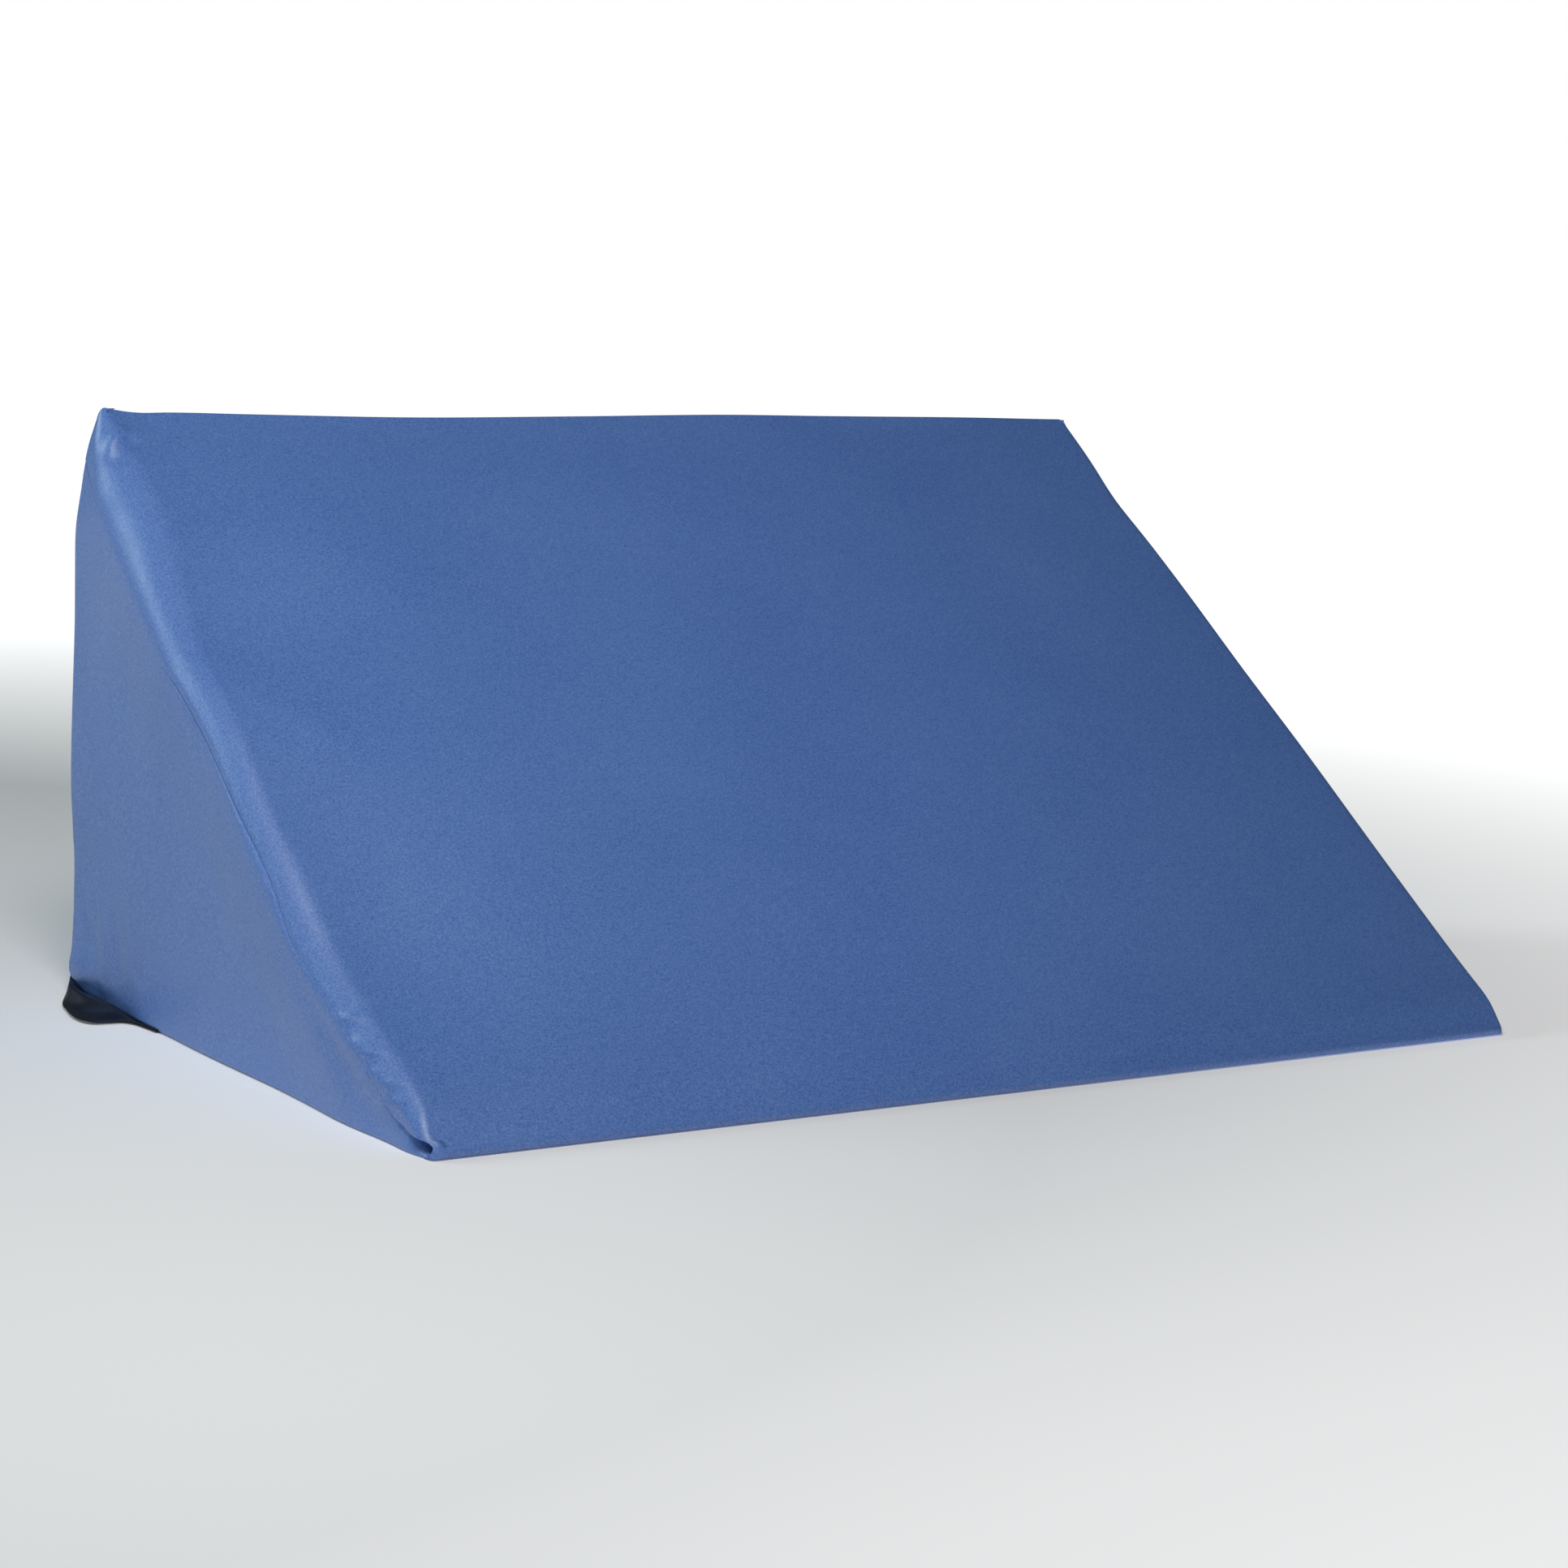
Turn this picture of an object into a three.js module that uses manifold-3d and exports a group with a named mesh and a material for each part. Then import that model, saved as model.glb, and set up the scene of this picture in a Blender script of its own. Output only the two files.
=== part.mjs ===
// An incline wedge mat: a foam wedge in a sewn cover of coated fabric, with a zip across its back.
//
// Millimetres. X runs across the mat, -Y is the low toe, +Y is the tall back and Z is up.
// The origin is the middle of the base. The mat lies on its base, and the slope faces up and forward.
import * as THREE from "three";
import { mergeVertices } from "three/addons/utils/BufferGeometryUtils.js";
import Module from "manifold-3d";

// The covered wedge, outside sizes.
const WIDTH = 614;
const DEPTH = 392;
const HEIGHT = 294;
const EDGE_RADIUS = 3; // the cover's edges along the sides
const BACK_RADIUS = 5; // the cover's two edges across the back
const TOE_TIP_RADIUS = 3.5;
// The round where the slope turns down into the toe: its centre's place behind the tip and above the base.
const TOE_BREAK = { run: 21, height: 12, radius: 10 };

// The cloth, the foam and the room between them.
const CLOTH = 1.2;
const GAP = 0.3;
const SLOPE_SEAM_INSET = 20; // the slope panel laps over every edge by this, square to the slope
const HEM_DEPTH = 17; // a back panel's edge, turned in along the zip

// The zip runs across the back. Depths are measured inwards from the back's outer face.
const ZIP_HEIGHT = 75;
const ZIP_LENGTH = 550; // between the stops
const ZIP_MOUTH = 14.6; // between the back panels' turned edges
const HEM_OUTER_DEPTH = 4.1;
const HEM_INNER_DEPTH = 5.3;
const CHAIN_OUTER_DEPTH = 4.7;
const CHAIN_INNER_DEPTH = 7.1;
const CHAIN_HALF_HEIGHT = 3;
const CHAIN_HALF_SLOT = 0.45; // the two coils stand this far from the zip's middle
const TAPE_DEPTH = 5.6;
const TAPE_THICKNESS = 0.6;
const TAPE_REACH = 18; // from the zip's middle to the tape's outer edge
const TAPE_END_ROOM = 6; // from a tape's end to the outside of the side panel
const STOP_LENGTH = 4;
const STOP_HALF_HEIGHT = 4.4;
const STOP_PROUD = 0.1; // the stops stand this far above the coils

// The slider and its pull.
const SLIDER_LENGTH = 13;
const SLIDER_HALF_HEIGHT = 4.8;
const SLIDER_CORNER = 2.4;
const SLIDER_END_ROOM = 1.5; // between the slider and a stop at either end of its travel
const WING = 1.2; // thickness of the slider's two plates
const SLIDER_OUTER_DEPTH = 3.2; // the outer plate's outer face
const SLIDER_INNER_DEPTH = 8.6; // the inner plate's inner face
const FLANGE = 1.4; // width of the turned edges that hold the chain in
const POST = { length: 6, thickness: 0.4 };
const BAIL = { length: 7.6, height: 2.5, thickness: 0.8, leg: 1.2, outerDepth: 0.3 };
const PULL = { length: 29, halfWidth: 3.6, corner: 1.6, thickness: 1.2, axisDepth: 2.1 };
const EYE = { length: 4.6, halfWidth: 1.7, corner: 0.5 };
const PULL_SLOT = { start: 16, length: 8, halfWidth: 1.4 };

const FOAM_TAPE_ROOM = 0.6; // the foam stands back from the tapes by this
const FOAM_SLIDER_ROOM = 0.8;

const BACK_FACE = DEPTH / 2;
const BIG = 2000; // longer than anything here, for cutting away a whole side
const wasm = await Module();
wasm.setup();

// ---------------------------------------------------------------- solids and meshes

function solid(geometry) {
  const bare = geometry.clone();
  bare.deleteAttribute("normal");
  bare.deleteAttribute("uv");
  const merged = mergeVertices(bare, 1e-4);
  const triVerts = merged.index.array;
  const vertProperties = merged.attributes.position.array;
  return new wasm.Manifold(new wasm.Mesh({ numProp: 3, vertProperties, triVerts }));
}

function geometryOf(body) {
  const { vertProperties, triVerts } = body.getMesh();
  const geometry = new THREE.BufferGeometry();
  geometry.setAttribute("position", new THREE.BufferAttribute(vertProperties, 3));
  geometry.setIndex(new THREE.BufferAttribute(triVerts, 1));
  geometry.computeVertexNormals();
  return geometry;
}

function box(x0, x1, y0, y1, z0, z1) {
  const geometry = new THREE.BoxGeometry(x1 - x0, y1 - y0, z1 - z0);
  return geometry.translate((x0 + x1) / 2, (y0 + y1) / 2, (z0 + z1) / 2);
}

// A box across the back: depths inwards from the back's face, heights from the zip's middle.
function zipBox(x0, x1, depth0, depth1, z0, z1) {
  return box(x0, x1, BACK_FACE - depth1, BACK_FACE - depth0, ZIP_HEIGHT + z0, ZIP_HEIGHT + z1);
}

// A shape drawn in Y and Z, drawn out along X.
function alongX(shape, x0, x1, options = {}) {
  const geometry = new THREE.ExtrudeGeometry(shape, { depth: x1 - x0, bevelEnabled: false, ...options });
  const axes = new THREE.Matrix4().makeBasis(
    new THREE.Vector3(0, 1, 0),
    new THREE.Vector3(0, 0, 1),
    new THREE.Vector3(1, 0, 0),
  );
  return geometry.applyMatrix4(axes).translate(x0, 0, 0);
}

// A flat shape drawn in X and Z about the zip's middle, as thick as the two depths are apart.
function zipPlate(shape, x, depth0, depth1) {
  const options = { depth: depth1 - depth0, bevelEnabled: false, curveSegments: 6 };
  const geometry = new THREE.ExtrudeGeometry(shape, options);
  return geometry.rotateX(Math.PI / 2).translate(x, BACK_FACE - depth0, ZIP_HEIGHT);
}

function rounded(length, halfHeight, radius, start = -length / 2) {
  const shape = new THREE.Shape();
  const end = start + length;
  const corner = Math.PI / 2;
  shape.absarc(end - radius, halfHeight - radius, radius, 0, corner);
  shape.absarc(start + radius, halfHeight - radius, radius, corner, 2 * corner);
  shape.absarc(start + radius, radius - halfHeight, radius, 2 * corner, 3 * corner);
  shape.absarc(end - radius, radius - halfHeight, radius, 3 * corner, 4 * corner);
  return shape;
}

// ---------------------------------------------------------------- the wedge

// The circles that the side outline is stretched round, anticlockwise in Y and Z from the toe's tip.
const OUTLINE = [
  { y: -DEPTH / 2 + TOE_TIP_RADIUS, z: TOE_TIP_RADIUS, r: TOE_TIP_RADIUS },
  { y: BACK_FACE - BACK_RADIUS, z: BACK_RADIUS, r: BACK_RADIUS },
  { y: BACK_FACE - BACK_RADIUS, z: HEIGHT - BACK_RADIUS, r: BACK_RADIUS },
  { y: -DEPTH / 2 + TOE_BREAK.run, z: TOE_BREAK.height, r: TOE_BREAK.radius },
];

// The direction of the outward normal of the line that touches two of those circles.
function normalBetween(a, b) {
  const run = Math.hypot(b.y - a.y, b.z - a.z);
  return Math.atan2(b.z - a.z, b.y - a.y) - Math.PI / 2 + Math.asin((a.r - b.r) / run);
}

function outline(inset) {
  const shape = new THREE.Shape();
  OUTLINE.forEach((circle, i) => {
    const before = OUTLINE.at(i - 1);
    const after = OUTLINE[(i + 1) % OUTLINE.length];
    const from = normalBetween(before, circle);
    const to = normalBetween(circle, after);
    shape.absarc(circle.y, circle.z, circle.r - inset, from, to, false);
  });
  return shape;
}

// The whole wedge with rounded edges, everywhere `inset` inside the cover's outer face.
function wedge(inset) {
  const bevel = EDGE_RADIUS - inset;
  const half = WIDTH / 2 - EDGE_RADIUS;
  const segments = { bevelSegments: 4, curveSegments: 4 };
  const options = { bevelEnabled: true, bevelSize: bevel, bevelThickness: bevel, ...segments };
  return solid(alongX(outline(EDGE_RADIUS), -half, half, options));
}

// Everything above a plane that lies `inset` below the slope and parallel to it.
function aboveSlope(inset) {
  const [, , top, toe] = OUTLINE;
  const normal = normalBetween(top, toe);
  const reach = top.r - inset;
  const y = top.y + reach * Math.cos(normal);
  const z = top.z + reach * Math.sin(normal);
  const geometry = box(-BIG, BIG, 0, BIG, -BIG, BIG);
  return solid(geometry.rotateX(normal).translate(0, y, z));
}

// ---------------------------------------------------------------- the cover's panels

function coverPanels() {
  const shell = wedge(0).subtract(wedge(CLOTH));
  const slopeCap = aboveSlope(SLOPE_SEAM_INSET);
  const rest = shell.subtract(aboveSlope(SLOPE_SEAM_INSET + GAP));
  const side = WIDTH / 2 - EDGE_RADIUS;
  const middle = solid(box(GAP - side, side - GAP, -BIG, BIG, -BIG, BIG));
  const floor = solid(box(-BIG, BIG, -BIG, BIG, -BIG, BACK_RADIUS));
  const aboveFloor = solid(box(-BIG, BIG, -BIG, BIG, BACK_RADIUS + GAP, BIG));
  const back = rest.intersect(middle).intersect(aboveFloor);
  return {
    cover_slope_panel: shell.intersect(slopeCap),
    cover_side_left: rest.intersect(solid(box(-BIG, -side, -BIG, BIG, -BIG, BIG))),
    cover_side_right: rest.intersect(solid(box(side, BIG, -BIG, BIG, -BIG, BIG))),
    cover_base_panel: rest.intersect(middle).intersect(floor),
    cover_back_upper: backPanel(back, 1),
    cover_back_lower: backPanel(back, -1),
  };
}

// One of the two back panels. Its edge turns in at the zip's mouth and then back along the tape.
function backPanel(back, way) {
  const end = WIDTH / 2 - EDGE_RADIUS - GAP;
  const mouth = ZIP_MOUTH / 2;
  const heights = (from, to) => (way > 0 ? [from, to] : [-to, -from]);
  const keep = solid(zipBox(-BIG, BIG, -BIG, BIG, ...heights(mouth, BIG)));
  const lip = solid(zipBox(-end, end, CLOTH / 2, HEM_INNER_DEPTH, ...heights(mouth, mouth + CLOTH)));
  const hem = solid(zipBox(-end, end, HEM_OUTER_DEPTH, HEM_INNER_DEPTH, ...heights(mouth, HEM_DEPTH)));
  return back.intersect(keep).add(lip).add(hem);
}

function foamCore() {
  const tapes = TAPE_REACH + FOAM_TAPE_ROOM;
  const slider = SLIDER_HALF_HEIGHT + FOAM_SLIDER_ROOM;
  const tapeDepth = TAPE_DEPTH + TAPE_THICKNESS + FOAM_TAPE_ROOM;
  const channel = solid(zipBox(-BIG, BIG, -BIG, tapeDepth, -tapes, tapes));
  const groove = solid(zipBox(-BIG, BIG, -BIG, SLIDER_INNER_DEPTH + FOAM_SLIDER_ROOM, -slider, slider));
  return wedge(CLOTH + GAP).subtract(channel).subtract(groove);
}

// ---------------------------------------------------------------- the zip

function tape(way) {
  const end = WIDTH / 2 - TAPE_END_ROOM;
  const inner = CHAIN_HALF_HEIGHT + GAP;
  const depths = [TAPE_DEPTH, TAPE_DEPTH + TAPE_THICKNESS];
  return way > 0
    ? zipBox(-end, end, ...depths, inner, TAPE_REACH)
    : zipBox(-end, end, ...depths, -TAPE_REACH, -inner);
}

// One side's row of teeth, as the bar that the coil fills: flat towards the middle, round outside.
function coil(way) {
  const radius = (CHAIN_INNER_DEPTH - CHAIN_OUTER_DEPTH) / 2;
  const y = BACK_FACE - (CHAIN_OUTER_DEPTH + CHAIN_INNER_DEPTH) / 2;
  const round = ZIP_HEIGHT + way * (CHAIN_HALF_HEIGHT - radius);
  const flat = ZIP_HEIGHT + way * CHAIN_HALF_SLOT;
  const shape = new THREE.Shape();
  const from = way > 0 ? 0 : Math.PI;
  shape.absarc(y, round, radius, from, from + Math.PI, false);
  shape.lineTo(y - way * radius, flat);
  shape.lineTo(y + way * radius, flat);
  return alongX(shape, -ZIP_LENGTH / 2, ZIP_LENGTH / 2, { curveSegments: 5 });
}

// A clamp round the tape's edge at one end of the chain.
function stop(x0, z0, z1) {
  const x1 = x0 + STOP_LENGTH;
  const room = CHAIN_HALF_HEIGHT;
  const faces = [CHAIN_OUTER_DEPTH - STOP_PROUD, CHAIN_INNER_DEPTH + STOP_PROUD];
  const clamp = solid(zipBox(x0, x1, ...faces, z0, z1));
  const depths = [TAPE_DEPTH - GAP, TAPE_DEPTH + TAPE_THICKNESS + GAP];
  const upperSlot = solid(zipBox(x0 - GAP, x1 + GAP, ...depths, room, BIG));
  const lowerSlot = solid(zipBox(x0 - GAP, x1 + GAP, ...depths, -BIG, -room));
  return geometryOf(clamp.subtract(upperSlot).subtract(lowerSlot));
}

// Two plates joined by a thin post between the coils, with turned-in edges and a bridge for the pull.
function slider(x) {
  const plate = rounded(SLIDER_LENGTH, SLIDER_HALF_HEIGHT, SLIDER_CORNER);
  const outerFace = SLIDER_OUTER_DEPTH + WING;
  const innerFace = SLIDER_INNER_DEPTH - WING;
  const tapeOuter = TAPE_DEPTH - GAP;
  const tapeInner = TAPE_DEPTH + TAPE_THICKNESS + GAP;
  const halfFlange = SLIDER_LENGTH / 2 - SLIDER_CORNER;
  let body = solid(zipPlate(plate, x, SLIDER_OUTER_DEPTH, outerFace));
  body = body.add(solid(zipPlate(plate, x, innerFace, SLIDER_INNER_DEPTH)));
  const postHalf = POST.length / 2;
  const post = [outerFace - WING / 2, innerFace + WING / 2, -POST.thickness / 2, POST.thickness / 2];
  body = body.add(solid(zipBox(x - postHalf, x + postHalf, ...post)));
  for (const way of [-1, 1]) {
    const edge = [way * SLIDER_HALF_HEIGHT, way * (SLIDER_HALF_HEIGHT - FLANGE)].sort((a, b) => a - b);
    const ends = [x - halfFlange, x + halfFlange];
    body = body.add(solid(zipBox(...ends, outerFace - WING / 2, tapeOuter, ...edge)));
    body = body.add(solid(zipBox(...ends, tapeInner, innerFace + WING / 2, ...edge)));
  }
  return geometryOf(body.add(bail(x)));
}

// The bridge on the slider's outer plate.
function bail(x) {
  const half = BAIL.length / 2;
  const height = [-BAIL.height / 2, BAIL.height / 2];
  const crown = BAIL.outerDepth + BAIL.thickness;
  const inner = half - BAIL.leg;
  const whole = solid(zipBox(x - half, x + half, BAIL.outerDepth, SLIDER_OUTER_DEPTH + WING / 2, ...height));
  const window = solid(zipBox(x - inner, x + inner, crown, SLIDER_OUTER_DEPTH, -BIG, BIG));
  return whole.subtract(window);
}

// The flat tab. It hangs on the bridge by the bar at its near end, and lies along the chain towards -X.
function pull(x) {
  const bar = PULL.thickness / 2;
  const tab = rounded(PULL.length + bar, PULL.halfWidth, PULL.corner, -PULL.length);
  const eye = rounded(EYE.length, EYE.halfWidth, EYE.corner, -bar - EYE.length);
  const slotEnd = -PULL_SLOT.start - PULL_SLOT.length;
  const slot = rounded(PULL_SLOT.length, PULL_SLOT.halfWidth, PULL_SLOT.halfWidth, slotEnd);
  tab.holes.push(eye, slot);
  return zipPlate(tab, x, PULL.axisDepth - bar, PULL.axisDepth + bar);
}

// ---------------------------------------------------------------- the assembly

const finishes = {
  cloth: { color: 0x5b7ba9, roughness: 0.6, metalness: 0 },
  base: { color: 0x131a2b, roughness: 0.75, metalness: 0 },
  foam: { color: 0xd9d2bd, roughness: 0.95, metalness: 0 },
  tape: { color: 0x27374f, roughness: 0.85, metalness: 0 },
  teeth: { color: 0x1d2a3d, roughness: 0.45, metalness: 0 },
  metal: { color: 0x6f7479, roughness: 0.35, metalness: 1 },
};

function addMesh(group, name, geometry, finish) {
  const mesh = new THREE.Mesh(geometry, new THREE.MeshStandardMaterial(finishes[finish]));
  mesh.name = name;
  group.add(mesh);
}

const mat = new THREE.Group();
mat.name = "incline_wedge_mat";

const cover = new THREE.Group();
Object.entries(coverPanels()).forEach(([name, panel]) => {
  const finish = name === "cover_base_panel" ? "base" : "cloth";
  addMesh(cover, name, geometryOf(panel), finish);
});
addMesh(mat, "foam_core", geometryOf(foamCore()), "foam");

const zip = new THREE.Group();
const stopFrom = ZIP_LENGTH / 2 + GAP;
const sliderX = (ZIP_LENGTH - SLIDER_LENGTH) / 2 - SLIDER_END_ROOM;
addMesh(zip, "zip_tape_upper", tape(1), "tape");
addMesh(zip, "zip_tape_lower", tape(-1), "tape");
addMesh(zip, "zip_coil_upper", coil(1), "teeth");
addMesh(zip, "zip_coil_lower", coil(-1), "teeth");
addMesh(zip, "zip_top_stop_upper", stop(stopFrom, 2 * GAP, STOP_HALF_HEIGHT), "metal");
addMesh(zip, "zip_top_stop_lower", stop(stopFrom, -STOP_HALF_HEIGHT, -2 * GAP), "metal");
addMesh(zip, "zip_bottom_stop", stop(-stopFrom - STOP_LENGTH, -STOP_HALF_HEIGHT, STOP_HALF_HEIGHT), "metal");
addMesh(zip, "zip_slider", slider(sliderX), "metal");
addMesh(zip, "zip_pull", pull(sliderX), "metal");

mat.add(cover, zip);

export default mat;
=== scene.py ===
"""The looks of an incline wedge mat: a coated-cloth cover over a foam wedge, with a zip across the back.

Metres, in the CAD frame: X runs across the mat, -Y is the toe, +Y is the tall back and Z is up.
Each panel of the cover is a dense sheet laid over the CAD wedge, with its seams, rolls and folds.
"""

import math

import bmesh
import bpy
import numpy as np
from mathutils import Matrix, Vector

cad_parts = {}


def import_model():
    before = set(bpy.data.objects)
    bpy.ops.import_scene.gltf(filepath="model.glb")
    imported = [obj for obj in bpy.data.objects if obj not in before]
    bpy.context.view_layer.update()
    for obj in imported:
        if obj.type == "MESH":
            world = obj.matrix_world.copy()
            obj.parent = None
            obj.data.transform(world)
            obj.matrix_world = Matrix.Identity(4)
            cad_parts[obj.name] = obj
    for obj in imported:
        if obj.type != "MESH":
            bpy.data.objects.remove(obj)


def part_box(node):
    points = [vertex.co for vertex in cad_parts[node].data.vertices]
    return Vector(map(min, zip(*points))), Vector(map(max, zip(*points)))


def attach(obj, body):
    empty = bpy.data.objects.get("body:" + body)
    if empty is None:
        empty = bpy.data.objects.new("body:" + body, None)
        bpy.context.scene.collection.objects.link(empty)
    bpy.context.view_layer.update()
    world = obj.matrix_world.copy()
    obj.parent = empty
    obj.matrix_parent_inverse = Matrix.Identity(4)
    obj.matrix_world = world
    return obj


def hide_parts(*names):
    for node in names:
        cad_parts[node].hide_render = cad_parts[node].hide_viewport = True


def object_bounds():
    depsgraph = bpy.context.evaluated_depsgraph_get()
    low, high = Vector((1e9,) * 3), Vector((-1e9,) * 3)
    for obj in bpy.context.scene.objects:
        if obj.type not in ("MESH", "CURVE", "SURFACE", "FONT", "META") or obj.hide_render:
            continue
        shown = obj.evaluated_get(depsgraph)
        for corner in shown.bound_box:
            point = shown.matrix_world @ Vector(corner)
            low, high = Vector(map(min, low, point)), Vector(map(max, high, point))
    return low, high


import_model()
CAD_LOW, CAD_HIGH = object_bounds()
MM = 0.001

# ---------------------------------------------------------------- driving sizes

HALF = (CAD_HIGH.x - CAD_LOW.x) / 2
TOE, BACK = CAD_LOW.y, CAD_HIGH.y
TOP = CAD_HIGH.z
CENTRE = np.array([0, 0.04, 0.1])  # a point well inside the foam

CLOTH = 0.9 * MM
DRAWN_IN = (0.8 * MM, 0.35 * MM, 0.1 * MM)  # how far sewing draws in the rows next to a seam
EDGE = 4 * MM  # radius of the upright edges between the sides and the back
LOW_EDGE = 1.8 * MM  # and of the edges round the base
RIM = EDGE * (1 - math.sqrt(0.5))  # how far in a seam in the middle of such an edge lies
LOW_SEAM = 0.12 * MM  # height of the seams round the base
LOW_SEAM_IN = LOW_EDGE - math.sqrt(LOW_EDGE**2 - (LOW_EDGE - LOW_SEAM) ** 2)
FOLD_ANGLE = math.radians(55)  # cloth bent more sharply than this shows a crisp fold
TURN_IN = 6 * MM  # seam allowance, turned into the mat at each panel's edge
LEFT_SWELL = 3.3 * MM  # how far the left side stands out from the CAD's side
BACK_LAP = 23 * MM  # the slope panel's lap over the top edge, down the back
TOE_LAP = 26 * MM  # and under the toe

# The mat's outline from the side, in Y and Z: the corners that its lines meet at, and their radii.
TOP_RADIUS, BREAK_RADIUS, TIP_RADIUS = 3 * MM, 45 * MM, 2.6 * MM
TOP_CORNER = np.array([BACK, TOP + 0.96 * TOP_RADIUS])
BREAK = np.array([TOE + 13 * MM, 17.8 * MM])  # where the slope turns down into the toe's lip
TIP_CORNER = np.array([TOE - 2.4 * MM, 0])
SLOPE_LENGTH = float(np.linalg.norm(BREAK - TOP_CORNER))
DOWN = (BREAK - TOP_CORNER) / SLOPE_LENGTH  # along the slope, from the top edge to the toe
OUT = np.array([DOWN[1], -DOWN[0]])  # square to the slope, outwards
OUTLINE_STEP = 0.25 * MM  # between the points of that outline
SEAM_START, SEAM_END = 15 * MM, 487 * MM  # where a side's upper seam begins and ends, down the slope
BEYOND = 1.0  # stands for a place past the slope's end, where none of its folds reach
BACK_LAP_RATE = 2.4  # how much faster the slope's folds fade out down the back than down the slope

MOUTH_LOW, MOUTH_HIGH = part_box("cover_back_lower")[1].z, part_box("cover_back_upper")[0].z
ZIP_Z = (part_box("zip_tape_lower")[0].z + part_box("zip_tape_upper")[1].z) / 2
ZIP_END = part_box("zip_tape_lower")[1].x + 0.5 * MM  # where the mouth starts to close again, at each end


def smooth(x, low, high):
    """0 below low, 1 above high and a smooth step between them."""
    t = np.clip((np.asarray(x, float) - low) / (high - low), 0, 1)
    return t * t * (3 - 2 * t)


def bell(x, centre, width):
    """A bell of height 1 and of about that half-width."""
    return np.exp(-(((np.asarray(x, float) - centre) / width) ** 2))


def through(x, *points):
    """A smooth curve through a few (place, value) points in millimetres, level beyond its ends."""
    xs, ys = (np.array(v, float) * MM for v in zip(*points))
    slopes = np.gradient(ys, xs)
    slopes[0] = slopes[-1] = 0
    x = np.clip(x, xs[0], xs[-1])
    i = np.clip(np.searchsorted(xs, x, side="right") - 1, 0, len(xs) - 2)
    h = xs[i + 1] - xs[i]
    t = (x - xs[i]) / h
    first = ys[i] * (1 + 2 * t) * (1 - t) ** 2 + h * slopes[i] * t * (1 - t) ** 2
    return first + ys[i + 1] * t * t * (3 - 2 * t) + h * slopes[i + 1] * t * t * (t - 1)


def rim(distance, radius=EDGE):
    """How far a face has rolled away at that distance from the face that it turns into."""
    e = np.clip(distance, 0, radius)
    return radius - np.sqrt(radius**2 - (radius - e) ** 2)


def ripple(a, b, seed, size, octaves=2):
    """Soft seeded waves of height about 1 over two coordinates, with bumps about that size across."""
    rng = np.random.default_rng(seed)
    total = np.zeros(np.broadcast(a, b).shape)
    for octave in range(octaves):
        for _ in range(6):
            angle, phase = rng.uniform(0, 2 * math.pi, 2)
            pitch = size * rng.uniform(0.8, 1.4) / 2**octave
            wave = np.sin(2 * math.pi * (a * math.cos(angle) + b * math.sin(angle)) / pitch + phase)
            total += wave / (3 * 2**octave)
    return total


# ---------------------------------------------------------------- the outline from the side


def rounded_path(corners, radii, step=OUTLINE_STEP):
    """Points every step along a line through the corners, with the inner corners rounded."""
    corners = [np.array(c, float) for c in corners]
    line = [corners[0]]
    for before, corner, after, radius in zip(corners, corners[1:], corners[2:], radii):
        a, b = before - corner, after - corner
        a, b = a / np.linalg.norm(a), b / np.linalg.norm(b)
        half = math.acos(float(np.clip(a @ b, -1, 1))) / 2
        centre = corner + (a + b) / np.linalg.norm(a + b) * radius / math.sin(half)
        start = corner + a * radius / math.tan(half) - centre
        end = corner + b * radius / math.tan(half) - centre
        turn = math.pi - 2 * half
        for share in np.linspace(0, 1, max(6, int(turn * radius / step))):
            arc = start * math.sin((1 - share) * turn) + end * math.sin(share * turn)
            line.append(centre + arc / math.sin(turn))
    line.append(corners[-1])
    line = np.array(line)
    run = np.concatenate([[0], np.cumsum(np.linalg.norm(np.diff(line, axis=0), axis=1))])
    even = np.arange(0, run[-1], step)
    return np.stack([np.interp(even, run, line[:, k]) for k in (0, 1)], axis=1)


# From the lower edge of the lap down the back, over the top edge and the toe to the edge under the toe.
OUTLINE = rounded_path(
    [(BACK, TOP - BACK_LAP), TOP_CORNER, BREAK, TIP_CORNER, (TOE + TOE_LAP, 0)],
    [TOP_RADIUS, BREAK_RADIUS, TIP_RADIUS],
)
CREST = int(np.argmax(OUTLINE @ (OUT + np.array([1, 0]))))  # the middle of the top edge's round
TIP = int(np.argmin(OUTLINE[:, 0]))
UPPER = OUTLINE[CREST:TIP]


def slope_place(y, z):
    """(u, d): how far down the slope a point of a side lies from the top edge, and how deep."""
    shape = np.broadcast(y, z).shape
    y, z = np.broadcast_to(y, shape).ravel(), np.broadcast_to(z, shape).ravel()
    skip = 4
    line = UPPER[::skip]
    nearest = np.empty(len(y), int)
    for part in np.array_split(np.arange(len(y)), max(1, len(y) // 4000)):
        away = (y[part, None] - line[:, 0]) ** 2 + (z[part, None] - line[:, 1]) ** 2
        nearest[part] = np.argmin(away, axis=1)
    ahead = np.gradient(line, axis=0)
    ahead /= np.linalg.norm(ahead, axis=1, keepdims=True)
    dy, dz = y - line[nearest, 0], z - line[nearest, 1]
    u = skip * OUTLINE_STEP * nearest + dy * ahead[nearest, 0] + dz * ahead[nearest, 1]
    d = dy * -ahead[nearest, 1] + dz * ahead[nearest, 0]
    return u.reshape(shape), np.maximum(d, 0).reshape(shape)


def side_point(u, d):
    """The (y, z) that lies d inside the outline, at u down it from the top edge."""
    ahead = np.gradient(UPPER, axis=0)
    ahead /= np.linalg.norm(ahead, axis=1, keepdims=True)
    places = OUTLINE_STEP * np.arange(len(UPPER))
    y, z, along_y, along_z = (np.interp(u, places, v) for v in (*UPPER.T, *ahead.T))
    return y - d * along_z, z + d * along_y


# ---------------------------------------------------------------- meshes


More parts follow.
